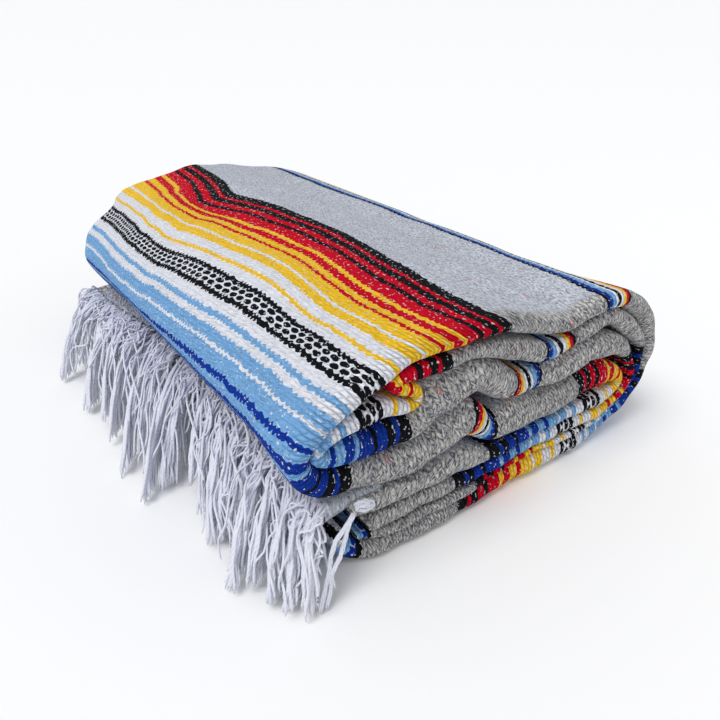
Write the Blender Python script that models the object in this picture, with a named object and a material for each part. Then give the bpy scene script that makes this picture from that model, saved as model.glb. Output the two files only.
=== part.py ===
"""A Mexican serape: a thick striped blanket with a white warp fringe, folded into a pack that lies flat.

Metres, +Z up. +X runs across the pack, along the blanket's length, and +Y runs along its stripes.
The blanket's long edges are folded in first, so each layer shows doubled cloth at both ends. The layers are
then laid in a spiral: over the top, round the right side, along the underside, and round the left side inwards.
"""
import math

import bmesh
import bpy

PACK_WIDTH = 0.280          # across the folds, from the left fold to the right one
PACK_LENGTH = 0.424         # along the stripes, from the near doubled edges to the far ones
UNIT = PACK_WIDTH / 302     # the tables' unit: the pack is 302 units wide and about 133 high
LONGEST_STEP = 13           # units between two stations where the far corners draw in
GAP = 0.0004                # clearance at each face where two stretches lie on each other
FLAT = 0.0001               # what comes this near the ground lies flat on it
SEAM = 0.0004               # and between the ends of two stretches that follow each other
EDGE_DEPTH = 0.042          # how far a hidden layer's doubled edge reaches into the pack
CORE_INSET = 0.0014         # the hidden layers' solid stands this far inside the cloth round it
FAR_DEPTH = 0.030           # how far the far edges of the layers reach into the pack
CORE_FAR_GAP = 0.0015       # the hidden layers' solid ends this far short of them
CORE_HOLLOW = 0.017         # and its far end is hollowed this much at its middle
MIDDLE_X = 73.77            # units from the pack's lower left corner to the middle of the whole box
NEAR_REACH = 0.0116         # the corner tassel reaches this far in front of the near edges
DROOP_START = 0.290         # the far left corner starts to sink here
DROOP_LEFT = 0.072          # share of its height that it loses
DROOP_ACROSS = (105, 0)     # x in units: from no sinking to all of it
SWELL = 0.012               # share of the height that the far end's middle gains
SWELL_ACROSS = ((90, 130), (200, 150))
CUT_START = 0.100           # the far corners start to draw in here
# How much of its length the pack loses at the far end: x in units, and the share lost there.
CORNER_CUT = (
    (-60, 0.215), (-46, 0.205), (-36, 0.165), (-26, 0.142), (-14, 0.132), (-4, 0.112), (4, 0.078),
    (14, 0.057), (40, 0.058), (60, 0.053), (90, 0.020), (110, 0.0), (150, 0.0), (205, 0.090),
    (246, 0.110),
)

# The outer doubled cloth, one line from the underside's left end to the inner right fold. Each row is a
# station: x, z and half the thickness, in units. Each stretch starts where the one before it ends.
UNDERSIDE = (
    (-14, 18.0, 4.5), (-5, 9.8, 6.0), (6, 6.3, 6.3), (20, 6.3, 6.3), (45, 6.3, 6.3), (70, 6.6, 6.6),
    (90, 8.2, 8.2), (120, 8.6, 8.6), (150, 8.2, 8.2), (175, 7.6, 7.6), (191, 8.6, 7.2), (207, 14, 6.3),
    (222, 21, 6.0), (235, 30, 5.5),
)
RIGHT_FOLD = (
    (241, 39, 5.2), (243, 49, 5.2), (245.5, 60, 6.0), (245, 72, 6.5), (240, 84, 7.2),
    (230, 94.5, 7.6), (218, 103, 7.0), (205, 110, 6.2),
)
TOP = (
    (190, 113, 5.6), (175, 113.3, 5.6), (160, 110.8, 5.6), (147, 109.2, 5.6),
    (133, 111.5, 5.6), (118, 115.8, 5.6), (103, 121.3, 5.6), (88, 125.8, 5.6), (65, 127.2, 5.6),
    (40, 127.6, 5.6), (20, 126, 5.6), (5, 121.6, 5.6), (-10, 115.5, 5.6), (-24, 109.2, 5.6),
)
LEFT_FOLD = (
    (-32, 105, 5.8), (-39, 99.5, 5.8), (-43, 92, 5.8), (-42.5, 84, 6.2),
    (-37, 75.5, 7.0), (-30.5, 70.6, 8.0), (-22, 67.8, 8.6),
)
FOURTH_EDGE = (
    (-10, 65.4, 8.8), (5, 62, 10.2), (20, 60.5, 10.6), (35, 60.8, 10.8), (50, 64, 12.2),
    (61, 66.8, 12.8), (70, 66.4, 11.8), (78, 61.6, 9.6), (86, 57, 8.6), (95, 54.6, 11.4),
    (104, 54.4, 13.8), (116, 54, 13.6), (130, 53, 11.8), (145, 52.4, 10.8), (160, 53, 10.8),
    (172, 54.6, 12.0), (184, 55, 12.0), (196, 54.4, 10.0), (206, 52.6, 7.4), (213, 50, 5.4),
)
# Doubled edges of the hidden layers, from the top down, as they show between the stretches above.
SECOND_EDGE = (
    (22, 115.6, 3.8), (33, 115.8, 4.6), (48, 115.3, 5.0), (62, 114.8, 4.8), (76, 113, 4.8), (90, 109, 6.2),
    (101, 105, 6.6), (112, 101, 6.8), (124, 96.6, 6.6), (136, 94.2, 6.0), (148, 94.8, 5.4),
    (160, 96.2, 5.6), (172, 98.6, 6.0), (185, 101, 6.0), (196, 100.2, 6.0), (207, 94.6, 6.2),
    (218, 85.6, 6.0), (228, 77, 4.8), (233.5, 69.5, 3.2), (234.5, 60, 2.6),
)
TUCKED_CURL = (
    (-21, 99.4, 3.2), (-14, 100, 4.2), (-5, 101.2, 5.2), (9, 101, 5.2), (19, 99.8, 4.6), (27, 101.2, 3.6),
    (28.5, 106, 3.0), (22, 108.6, 2.6), (14, 110.6, 2.2),
)
THIRD_EDGE = (
    (-33, 87.5, 4.8), (-20, 86, 7.0), (-6, 83, 7.8), (8, 82.6, 8.6), (22, 82.4, 9.2), (33, 86, 12.6),
    (43, 90.4, 15.2), (54, 93.8, 14.2), (64, 95.6, 12.0), (74, 96.4, 10.2), (84, 92.6, 9.8),
    (94, 85.6, 10.0), (104, 79.4, 9.0), (115, 78.2, 8.4), (130, 76.8, 9.6), (145, 76.4, 10.8),
    (160, 77.8, 11.2), (175, 80.2, 10.6), (190, 79.2, 10.0), (204, 76, 8.4), (214, 71.8, 6.4),
)
FIFTH_EDGE = (
    (-12, 44.5, 4.0), (4, 43.4, 4.8), (20, 41.5, 5.6), (40, 39, 6.0), (58, 40.6, 7.6), (72, 39.4, 7.4),
    (84, 36.8, 4.4), (100, 36.6, 3.2), (130, 36.8, 3.2), (160, 36.4, 3.4), (180, 36.4, 4.2),
    (198, 37, 4.8), (211, 39, 3.8),
)
SIXTH_EDGE = (
    (-2, 29.5, 5.2), (20, 27.8, 5.2), (40, 26.6, 4.6), (60, 26.6, 4.2), (75, 25.6, 3.6), (95, 27.2, 3.8),
    (115, 28, 4.0), (135, 27.8, 4.0), (155, 26.6, 4.6), (175, 25.6, 4.2), (195, 26.0, 3.4),
    (207, 28.4, 2.2),
)
SEVENTH_EDGE = (
    (-1, 18.6, 2.6), (20, 16.6, 3.0), (40, 16.5, 3.0), (60, 16.7, 2.8), (74, 17.7, 2.1), (92, 20.0, 1.9),
    (120, 20.7, 1.9), (150, 19.8, 1.9), (172, 18.6, 1.9), (190, 19.2, 1.9), (205, 22.4, 1.5),
    (217, 27.8, 1.4),
)
INNER_RIGHT_FOLD = (
    (216.4, 70, 3.6), (223.5, 61, 3.2), (227.5, 52, 2.8), (227.5, 43, 2.6), (222, 36.4, 2.4),
    (214, 32, 2.0),
)
# The far doubled edges: each layer turns back there in one thick fold.
FAR_UPPER = ((-16, 99, 3.6), (0, 103, 7.0), (30, 107.5, 12.0), (70, 108, 12.0), (110, 101, 11.0),
             (150, 95, 7.0), (190, 97, 8.0), (214, 86, 6.0), (228, 72, 3.6))
FAR_MIDDLE = ((-12, 78, 8.0), (10, 73, 13.0), (50, 75, 17.0), (90, 72, 17.0), (130, 67, 17.0),
              (175, 69, 18.0), (208, 62, 10.0))
FAR_LOWER = ((-8, 38, 9.5), (40, 34, 10.0), (90, 32, 8.5), (140, 32, 8.5), (190, 31, 8.0), (212, 35, 4.0))
FAR_BOTTOM = ((0, 17, 3.0), (40, 16.6, 3.0), (75, 17.6, 2.4), (110, 19.8, 2.0), (160, 18.6, 2.0),
              (192, 18.8, 1.9))
# The hidden layers' outline in the middle of the pack: x and z, anticlockwise from the lower left.
CORE_OUTLINE = (
    (-6, 18), (8, 15), (60, 15), (88, 19), (150, 19), (190, 18.5), (210, 23), (226, 33), (233, 46),
    (235.5, 60), (234, 72), (224, 86), (206, 100), (188, 104.5), (165, 103), (147, 101), (130, 103.5),
    (112, 109.5), (92, 117), (65, 119.5), (40, 119.5), (20, 118), (0, 111), (-20, 101.5), (-30, 93),
    (-30, 85), (-17, 79), (-14.5, 72), (-15, 58), (-15, 46), (-12, 34),
)
# The fringed end slants out on the left between the left fold and the underside, further at the far end.
FLAP_NEAR, FLAP_FAR = 0.006, 0.352      # where it starts and ends along the pack
FLAP_ROOT_X = -16.2
FLAP_EDGE_X = -19.5                     # where its edge lies in the middle of the pack
FLAP_SLANT = 27.0                       # and how much further out it lies at the far end
SLANT_ACROSS = (165 * UNIT, 350 * UNIT)
FLAP_CORNER = 12.0                      # and at the near corner
CORNER_ACROSS = (12 * UNIT, 62 * UNIT)
FLAP_Z, FLAP_FALL, FLAP_HALF = 47.5, 3.0, 2.4
FLAP_SHARES = (0.0, 0.33, 0.67, 1.0)
FRINGE_GAP = 1.0
# The fringe in section: share of the way from root to tip, and z in units.
FRINGE_SECTION = ((0.0, 38), (0.0, 50), (0.28, 47), (0.62, 31), (0.93, 9), (1.0, 0), (0.40, 0), (0.14, 18))
# Along the pack: y of the root, then x and y of the tip, in units.
FRINGE_ROWS = (
    (26, -58, 4), (60, -70, 28), (100, -73, 68), (135, -84, 104), (170, -88, 130), (210, -96, 164),
    (245, -93, 197), (280, -97, 224), (320, -104, 252), (350, -100, 274), (378, -86, 312),
)
# The tassel's strands: x, z, half the width in units, and y in metres.
TASSEL = ((-8, 52, 3.0, -0.0035), (-15, 51, 4.0, -0.0035), (-24, 41, 3.0, -0.004), (-33, 27, 3.0, -0.005),
          (-38, 12, 3.5, -0.007), (-43, 4.2, 4.0, -0.009))
TASSEL_FLATTEN = 0.7

NOSE_ANGLES = (-90, -50, 0, 50, 90)
LONG_STEPS = (0.05, 0.12, 0.20, 0.27, 0.32, 0.37)


def smoothstep(low, high, value):
    t = min(max((value - low) / (high - low), 0.0), 1.0)
    return t * t * (3 - 2 * t)


def falling(high, low, value):
    return 1 - smoothstep(low, high, value)


def in_frame(x, y, z):
    """A point of the tables, moved so that the whole box stands on its bottom centre."""
    return (x - MIDDLE_X * UNIT, y - (PACK_LENGTH - NEAR_REACH) / 2, z)


def corner_cut(across):
    """The share of its length that the pack loses at this place across it, in units."""
    for (low, first), (high, second) in zip(CORNER_CUT, CORNER_CUT[1:]):
        if across <= high:
            return first + (second - first) * max(across - low, 0.0) / (high - low)
    return CORNER_CUT[-1][1]


def settled(x, y, z):
    """A point of the straight pack, moved to where it lies once the far end has sunk and drawn in."""
    across = x / UNIT
    far = smoothstep(DROOP_START, PACK_LENGTH, y)
    sink = DROOP_LEFT * falling(*DROOP_ACROSS, across)
    sink -= SWELL * smoothstep(*SWELL_ACROSS[0], across) * falling(*SWELL_ACROSS[1], across)
    y *= 1 - corner_cut(across) * smoothstep(CUT_START, PACK_LENGTH, y)
    return in_frame(x, y, z * (1 - far * sink) if z > FLAT else 0.0)


def refined(rows):
    """The same rows with more of them between, so that no step is long."""
    fine = [rows[0]]
    for first, second in zip(rows, rows[1:]):
        parts = math.ceil(math.dist(first[:2], second[:2]) / LONGEST_STEP)
        fine += [tuple(a + (b - a) * k / parts for a, b in zip(first, second)) for k in range(1, parts + 1)]
    return fine


def stations_of(rows):
    """Stations along a table's line: centre x and z, unit tangent, half the thickness."""
    points = [tuple(value * UNIT for value in row) for row in rows]
    stations = []
    for i, (x, z, half) in enumerate(points):
        ahead, behind = points[min(i + 1, len(points) - 1)], points[max(i - 1, 0)]
        dx, dz = ahead[0] - behind[0], ahead[1] - behind[1]
        size = math.hypot(dx, dz)
        stations.append((x, z, dx / size, dz / size, half))
    return stations


def outer_stretches():
    """Each outer stretch's stations, cut from one line, with a small gap where two stretches meet."""
    chain = (("underside_stretch", UNDERSIDE), ("right_fold", RIGHT_FOLD), ("top_stretch", TOP),
             ("left_fold", LEFT_FOLD), ("fourth_edge", FOURTH_EDGE))
    line = stations_of([row for name, rows in chain for row in rows])
    stretches, start = {}, 0
    for name, rows in chain:
        end = start + len(rows) - (start == 0)
        piece = line[start:end + 1]
        for place, way in ((0, 1), (-1, -1)):
            x, z, tx, tz, half = piece[place]
            piece[place] = (x + way * tx * SEAM / 2, z + way * tz * SEAM / 2, tx, tz, half)
        stretches[name] = piece
        start = end
    return stretches


def closed_body(name, rings, middles=None):
    """One closed mesh through rings of equal length, each end one face, or a fan round its middle point."""
    mesh = bmesh.new()
    loops = [[mesh.verts.new(point) for point in ring] for ring in rings]
    count = len(rings[0])
    for first, second in zip(loops, loops[1:]):
        for k in range(count):
            mesh.faces.new((first[k], first[(k + 1) % count], second[(k + 1) % count], second[k]))
    if middles:
        for loop, middle in ((loops[0], middles[0]), (loops[-1], middles[1])):
            hub = mesh.verts.new(middle)
            for k in range(count):
                mesh.faces.new((loop[k], loop[(k + 1) % count], hub))
    else:
        mesh.faces.new(tuple(reversed(loops[0])))
        mesh.faces.new(tuple(loops[-1]))
    bmesh.ops.triangulate(mesh, faces=mesh.faces[:])
    bmesh.ops.recalc_face_normals(mesh, faces=mesh.faces[:])
    data = bpy.data.meshes.new(name)
    mesh.to_mesh(data)
    mesh.free()
    body = bpy.data.objects.new(name, data)
    bpy.context.scene.collection.objects.link(body)
    return body


def turned_edge(half, y_edge, inward, is_round):
    """The outline of one edge: (y, distance out of the line) from its outer side to its inner side."""
    if not is_round:
        return [(y_edge, -half), (y_edge, half)]
    turns = [math.radians(angle) for angle in NOSE_ANGLES]
    return [(y_edge + inward * half * (1 - math.cos(turn)), half * math.sin(turn)) for turn in turns]


def doubled_cloth(name, stations, near, far, round_near, round_far, steps=(), outer_gap=GAP):
    """Doubled cloth along a line of stations, from y near to y far, with its turned edges rounded."""
    rings = []
    for x, z, along_x, along_z, half in stations:
        outline = turned_edge(half, near, 1, round_near)
        outline += [(y, half) for y in steps]
        outline += reversed(turned_edge(half, far, -1, round_far))
        outline += [(y, -half) for y in reversed(steps)]
        ring = []
        for y, out in outline:
            out *= 1 - (GAP if out > 0 else outer_gap) / half
            ring.append(settled(x - along_z * out, y, z + along_x * out))
        rings.append(ring)
    return closed_body(name, rings)


def hidden_layers(name):
    """The one rounded solid that the hidden layers share, between the near and far edges."""
    centre_x = sum(x for x, z in CORE_OUTLINE) / len(CORE_OUTLINE) * UNIT
    centre_z = sum(z for x, z in CORE_OUTLINE) / len(CORE_OUTLINE) * UNIT
    outline = refined((*CORE_OUTLINE, CORE_OUTLINE[0]))[:-1]
    near, far = EDGE_DEPTH + GAP, PACK_LENGTH - FAR_DEPTH - CORE_FAR_GAP
    rings = []
    for y in (near, *[step for step in LONG_STEPS if near < step < far], far):
        ring = []
        for x, z in outline:
            dx, dz = x * UNIT - centre_x, z * UNIT - centre_z
            keep = 1 - CORE_INSET / math.hypot(dx, dz)
            ring.append(settled(centre_x + dx * keep, y, centre_z + dz * keep))
        rings.append(ring)
    return closed_body(name, rings, [settled(centre_x, y, centre_z) for y in (near, far - CORE_HOLLOW)])


def flap_edge(y):
    """Where the fringed end's edge lies, in units, at this distance along the pack."""
    corner = 1 - smoothstep(*CORNER_ACROSS, y)
    return FLAP_EDGE_X - FLAP_SLANT * smoothstep(*SLANT_ACROSS, y) - FLAP_CORNER * corner


def fringed_end(name):
    """The blanket's fringed end, doubled, from its root under the left fold to its slanting edge."""
    half = FLAP_HALF * UNIT
    steps = [row[0] * UNIT for row in FRINGE_ROWS if row[0] * UNIT < FLAP_FAR - half]
    rings = []
    for share in FLAP_SHARES:
        outline = turned_edge(half, FLAP_NEAR, 1, True)
        outline += [(y, half) for y in steps]
        outline += reversed(turned_edge(half, FLAP_FAR, -1, True))
        outline += [(y, -half) for y in reversed(steps)]
        ring = []
        for y, out in outline:
            x = (FLAP_ROOT_X + (flap_edge(y) - FLAP_ROOT_X) * share) * UNIT
            ring.append(in_frame(x, y, (FLAP_Z - FLAP_FALL * share ** 2) * UNIT + out))
        rings.append(ring)
    return closed_body(name, rings)


def fringe(name):
    """The space that the loose warp ends fill, from the fringed end out and down to the ground."""
    rings = []
    for root_y, tip_x, tip_y in FRINGE_ROWS:
        root_x = flap_edge(root_y * UNIT) - FRINGE_GAP
        ring = []
        for share, z in FRINGE_SECTION:
            x, y = root_x + (tip_x - root_x) * share, root_y + (tip_y - root_y) * share
            ring.append(in_frame(x * UNIT, y * UNIT, z * UNIT))
        rings.append(ring)
    return closed_body(name, rings)


def tassel(name):
    """The loose knotted strands that hang from the near corner of the fringed end."""
    corners = ((-1, -TASSEL_FLATTEN), (1, -TASSEL_FLATTEN), (1, TASSEL_FLATTEN), (-1, TASSEL_FLATTEN))
    rings = []
    for x, z, half, y in TASSEL:
        rings.append([in_frame((x + half * across) * UNIT, y + half * along * UNIT, z * UNIT)
                      for across, along in corners])
    return closed_body(name, rings)


def finish(body, colour, roughness):
    material = bpy.data.materials.new(body.name)
    material.use_nodes = True
    shader = material.node_tree.nodes["Principled BSDF"]
    shader.inputs["Base Color"].default_value = (*colour, 1.0)
    shader.inputs["Roughness"].default_value = roughness
    shader.inputs["Metallic"].default_value = 0.0
    body.data.materials.append(material)


GREY, SKY, RED, WHITE = (0.42, 0.44, 0.48), (0.16, 0.38, 0.70), (0.60, 0.01, 0.03), (0.74, 0.75, 0.82)
WOOL_ROUGH = 0.9


def build():
    for old in list(bpy.data.objects):
        bpy.data.objects.remove(old, do_unlink=True)
    full = dict(near=0.0, far=PACK_LENGTH, round_near=True, round_far=True, steps=LONG_STEPS, outer_gap=0.0)
    edge = dict(near=0.0, far=EDGE_DEPTH, round_near=True, round_far=False)
    far_edge = dict(near=PACK_LENGTH - FAR_DEPTH, far=PACK_LENGTH, round_near=False, round_far=True)
    outer = outer_stretches()
    colours = {"top_stretch": RED, "left_fold": SKY}
    for name, stations in outer.items():
        how = edge if name == "fourth_edge" else full
        finish(doubled_cloth(name, stations, **how), colours.get(name, GREY), WOOL_ROUGH)
    inner = (
        ("second_edge", SECOND_EDGE, edge, GREY), ("tucked_curl", TUCKED_CURL, edge, WHITE),
        ("third_edge", THIRD_EDGE, edge, GREY), ("fifth_edge", FIFTH_EDGE, edge, GREY),
        ("sixth_edge", SIXTH_EDGE, edge, GREY), ("seventh_edge", SEVENTH_EDGE, edge, GREY),
        ("inner_right_fold", INNER_RIGHT_FOLD, edge, RED), ("far_upper_fold", FAR_UPPER, far_edge, GREY),
        ("far_middle_fold", FAR_MIDDLE, far_edge, GREY), ("far_lower_fold", FAR_LOWER, far_edge, GREY),
        ("far_bottom_fold", FAR_BOTTOM, far_edge, GREY),
    )
    for name, rows, how, colour in inner:
        line = refined(rows) if how is far_edge else rows
        finish(doubled_cloth(name, stations_of(line), **how), colour, WOOL_ROUGH)
    finish(fringed_end("fringed_end"), GREY, WOOL_ROUGH)
    finish(hidden_layers("hidden_layers"), GREY, WOOL_ROUGH)
    finish(fringe("fringe"), WHITE, WOOL_ROUGH)
    finish(tassel("corner_tassel"), WHITE, WOOL_ROUGH)


build()
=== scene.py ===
import math
import random

import bpy
import numpy as np
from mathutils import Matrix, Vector


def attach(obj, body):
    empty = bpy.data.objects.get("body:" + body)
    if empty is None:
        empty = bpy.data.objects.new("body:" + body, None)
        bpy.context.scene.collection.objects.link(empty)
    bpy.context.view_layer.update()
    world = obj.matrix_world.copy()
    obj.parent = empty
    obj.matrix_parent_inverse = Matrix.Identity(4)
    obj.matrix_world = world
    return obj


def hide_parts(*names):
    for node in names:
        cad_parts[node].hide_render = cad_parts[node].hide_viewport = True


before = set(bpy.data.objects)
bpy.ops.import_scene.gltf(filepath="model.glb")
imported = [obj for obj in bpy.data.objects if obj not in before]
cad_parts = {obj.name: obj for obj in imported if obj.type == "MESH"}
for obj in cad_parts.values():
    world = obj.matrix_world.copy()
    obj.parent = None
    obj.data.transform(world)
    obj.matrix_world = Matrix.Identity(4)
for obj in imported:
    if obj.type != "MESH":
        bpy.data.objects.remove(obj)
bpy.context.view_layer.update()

# Folded serape. +X runs across the pack, +Y along its stripes, +Z up, metres.
# The tables of lines are in units, 302 of them across the pack.
pack = {
    "width": 0.280,         # across, metres
    "units": 302,           # the same, in units
    "length": 0.424,        # along the stripes, metres
    "middle": 73.77,        # the frame's middle, in units across
    "nearReach": 0.0116,    # how far the fringe reaches past the near end, metres
    "seed": 11,             # for the fringe's random draws
}
unit = pack["width"] / pack["units"]
packLength = pack["length"]
rng = random.Random(pack["seed"])


def smoothstep(low, high, value):
    t = np.clip((np.asarray(value, dtype=float) - low) / (high - low), 0.0, 1.0)
    return t * t * (3 - 2 * t)


# The two doubled strips, as seen on the near end: x, z, half the thickness.
# The outer strip is the underside from its left end, the right fold, the top and the left fold, then
# goes inwards as the fourth layer, round its turn on the right, and back out as the fifth.
outerRows = (
    (-14, 26, 1.2), (-15.5, 23.5, 3.4), (-16.5, 17, 5.2), (-12, 10.5, 6), (-3, 7, 6.3),
    (8, 6.4, 6.3), (20, 6.3, 6.2), (40, 6.3, 6.2), (60, 6.5, 6.3), (75, 7, 6.8),
    (90, 8.8, 8.6), (110, 9.2, 9), (130, 9.2, 9), (150, 8.9, 8.6), (170, 8.4, 7.8), (190, 9.3, 7.2),
    (207, 14, 6.3), (222, 21, 6), (235, 30, 5.5), (241, 39, 5.2), (243, 49, 5.2), (245.5, 60, 6),
    (245, 72, 6.5), (240, 84, 7.2), (230, 94.5, 7.6), (218, 103, 7), (205, 110, 6), (190, 113, 5.6),
    (177, 113.5, 5.6), (165, 111.5, 5.6), (150, 109, 5.6), (135, 111, 5.6), (120, 115, 5.6),
    (105, 120.5, 5.6), (91, 125.5, 5.6), (70, 127, 5.6), (50, 127.5, 5.6), (30, 127.5, 5.6),
    (18, 125.5, 5.6), (8, 122.5, 5.6), (0, 119.5, 5.6), (-10, 115.5, 5.6), (-20, 111, 5.6),
    (-30, 106, 5.6), (-38, 100.5, 6), (-43, 93, 6), (-42.5, 84, 6.5), (-37, 75, 7.5), (-28, 69, 9.3),
    (-15, 67, 9), (5, 62, 10.6), (20, 60.5, 11), (35, 60.8, 11.3), (50, 64, 12.8), (62, 67, 13.3),
    (71, 67.5, 12.5), (79, 62, 10), (86, 55, 7.5), (93, 53.5, 11), (102, 54.3, 14.3), (115, 54, 14),
    (130, 53, 12), (145, 52.3, 11), (160, 53, 11), (170, 54.5, 12.5), (180, 55.5, 12.5), (192, 55.5, 11),
    (204, 54, 8.5), (213, 50, 6), (215, 43, 4.5), (208, 38.5, 4.5), (196, 37.5, 5.8), (180, 36.5, 5),
    (160, 36.6, 4), (140, 37, 3.8), (120, 37, 3.8), (100, 36.8, 3.8), (86, 36.8, 4.8), (75, 38.5, 8),
    (60, 41, 8.6), (40, 39, 6.8), (20, 41.5, 6.2), (0, 43.7, 5.3), (-11, 44.5, 4.6),
    (-14.5, 44.7, 3.4), (-16, 44.7, 1.2),
)
# The inner strip is the seventh layer, goes up inside the right fold, and is the second layer, a
# tucked curl on the left, the third layer, its turn on the right, and back out as the sixth.
innerRows = (
    (-8.5, 20.2, 1.2), (-7, 20, 2.6), (-2, 19.2, 3.0), (20, 16.5, 3.4), (40, 16.5, 3.6),
    (60, 16.6, 3.6), (75, 17.4, 2.9), (90, 20.6, 2),
    (110, 21, 2), (130, 20.8, 2), (150, 19.6, 2), (170, 18.2, 2), (190, 19, 2), (205, 22.6, 2),
    (220, 29.5, 2), (230, 37, 2), (234.5, 46, 2), (236, 57, 2.2), (235.5, 66, 2.6), (231, 74.5, 4.5),
    (221, 83, 6.2), (210, 92, 6.4), (200, 98.5, 6), (190, 101, 5.8), (180, 100, 6.2), (170, 98, 6.2),
    (160, 96, 5.8), (152, 95, 5.3), (145, 94.8, 5.6), (135, 94, 6.3), (128, 95, 6.6), (120, 98, 7),
    (110, 102, 7.2), (100, 105.5, 7), (90, 109, 6), (75, 113.3, 4.8), (60, 115, 4.8), (45, 115.3, 5),
    (32, 116, 4.6), (20, 116.3, 3.6), (11, 113.6, 3.2), (18, 109.8, 3.6), (26, 105.5, 3.8), (27, 99, 4),
    (20, 97.6, 4.5), (8, 100.5, 5.6), (-5, 101, 5.6), (-18, 99.5, 4.6), (-29, 97, 4), (-34, 92, 4),
    (-30, 87, 5.4), (-18, 85.5, 7.8), (-5, 82.5, 8.2), (5, 82.5, 9), (15, 82.3, 9.2), (25, 82, 9.6),
    (33, 86, 13.5), (42, 90.5, 16.3), (52, 93, 15.5), (62, 95.5, 12.8), (72, 97, 10.8), (82, 93.5, 10.5),
    (91, 87.5, 11), (100, 81, 10), (108, 78.5, 9), (115, 78.3, 8.6), (122, 78.5, 9), (130, 77, 10),
    (145, 76, 11.3), (160, 77.5, 11.8), (175, 80.3, 11), (190, 79, 10.2), (204, 76, 8.8), (215, 71, 6.5),
    (223, 62, 4.2), (228, 52, 3.4), (229, 43, 3.2), (223, 34.5, 3), (210, 28.3, 3.2), (195, 25.7, 4.4),
    (180, 25.6, 4.6), (165, 26.4, 5.4), (150, 27, 5.4), (130, 28, 4.7), (110, 28, 4.7), (90, 27, 4.4),
    (75, 25.6, 4.2), (60, 26.8, 4.8), (40, 26.7, 5.2), (20, 27.8, 6), (3, 29.3, 5.4), (-3, 30, 3.8),
    (-5, 30, 1.2),
)

# The woven pattern's widths, in units along the blanket. A wide band is black, blues, white, the
# check in its middle, white, yellows, reds and black, and then come grey, a thin band and grey.
coolWidth = 98.4
warmWidth = 101.0
greyWidth = 86.0
thinWidth = 27.0
thinStart = coolWidth + warmWidth + greyWidth
period = thinStart + thinWidth + greyWidth

# where the pattern falls on each strip: x, z, place in the pattern
outerMarks = (
    (-14, 26, 2 * period + thinStart + 16), (-8, 8.5, 2 * period + thinStart),
    (63, 6.5, 2 * period + coolWidth + warmWidth), (166, 8.6, 2 * period + coolWidth),
    (243, 45, 2 * period), (205, 110, period + thinStart + thinWidth), (176, 113.4, period + thinStart),
    (93, 125, period + coolWidth + warmWidth), (-4, 118, period + coolWidth), (-16, 67, period),
    (70, 67, thinStart + thinWidth), (92, 53.6, thinStart), (166, 54, coolWidth + warmWidth),
    (187, 37, coolWidth), (86, 36.8, 0), (-16, 44.7, -82),
)
innerMarks = (
    (-8.5, 20.2, 2 * period + thinStart + 10), (-1, 19, 2 * period + thinStart),
    (78, 17.8, 2 * period + coolWidth + warmWidth), (175, 18.3, 2 * period + coolWidth),
    (236, 68, 2 * period), (156, 95.5, period + thinStart + thinWidth),
    (123, 97, period + thinStart), (48, 115.3, period + coolWidth + warmWidth),
    (-3, 101, period + coolWidth), (23, 82, period), (103, 80, thinStart + thinWidth),
    (127, 77.5, thinStart), (222, 66, coolWidth + warmWidth), (161, 26.5, coolWidth), (61, 26.8, 0),
    (-5, 30, -66),
)

# How far the stripes of the top's wide band stand to the left of a straight line, along the pack:
# y, then at the navy line, the sky line, the check, the thin yellow, the first red, the black edge
# and the thin band's first black.
lean = (
    (0, 0, 2, 0, 2, 7, 8, 0), (40, 1, 3, 1.5, 4, 11, 10.5, -5), (80, 2, 3, 1.5, 4, 11, 5, -7),
    (110, 3, 5, 1, 1, 6, 1, -6.5), (140, 4, 8, 3, 0, 2, -6, -6.5), (180, 6, 11, 6, 4, 5, -6, -6.5),
    (220, 8, 14, 11, 11, 12, -3, -6.5), (250, 10, 16, 13, 12, 17, -1, -7),
    (280, 12, 17, 16.5, 14.5, 22.5, 2, -5), (300, 12, 17, 17, 16, 26.5, 5.5, -4),
    (320, 12, 17, 17, 17, 27.5, 9, -3), (340, 12, 17, 15, 16, 22, 5, -2),
    (360, 10, 15, 13, 14, 20, 2, -2), (400, 8, 12, 10, 11, 9, -3, -2), (457, 8, 10, 8, 9, 3, -7, -2),
)
leanAt = (-76, -30, 0, 17, 46, 102, 187)        # those stripes' places from the check's middle
leanIn = (-coolWidth - 40, -coolWidth)          # it grows in over these places
leanOut = (270, 216)                            # and fades from the second to the first


def leanOf(place, y):
    # how far the pattern slides at a column, for every row
    table = np.array(lean, dtype=float)
    v = y / unit
    spot = place - period - coolWidth
    if spot < leanIn[0] or spot > leanOut[0]:
        return np.zeros_like(v)
    sides = np.array([np.interp(v, table[:, 0], table[:, k + 1]) for k in range(len(leanAt))])
    fade = float(smoothstep(*leanIn, spot) * smoothstep(*leanOut, spot))
    slides = np.array([np.interp(spot, leanAt, sides[:, k]) for k in range(len(v))])
    return slides * fade


def smoothLine(rows, step):
    # a smooth line through the rows in even steps: its centres with half thicknesses, and distances
    points = np.array(rows, dtype=float)
    padded = np.vstack([2 * points[0] - points[1], points, 2 * points[-1] - points[-2]])
    samples = []
    for k in range(len(points) - 1):
        a, b, c, d = padded[k:k + 4]
        for t in np.linspace(0, 1, 12, endpoint=False):
            samples.append(0.5 * (2 * b + (c - a) * t + (2 * a - 5 * b + 4 * c - d) * t * t
                                  + (3 * b - a - 3 * c + d) * t ** 3))
    samples.append(points[-1])
    samples = np.array(samples)
    run = np.concatenate([[0], np.cumsum(np.hypot(*np.diff(samples[:, :2], axis=0).T))])
    even = np.linspace(0, run[-1], int(round(run[-1] / step)) + 1)
    columns = np.column_stack([np.interp(even, run, samples[:, k]) for k in range(3)])
    return columns, even


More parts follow.
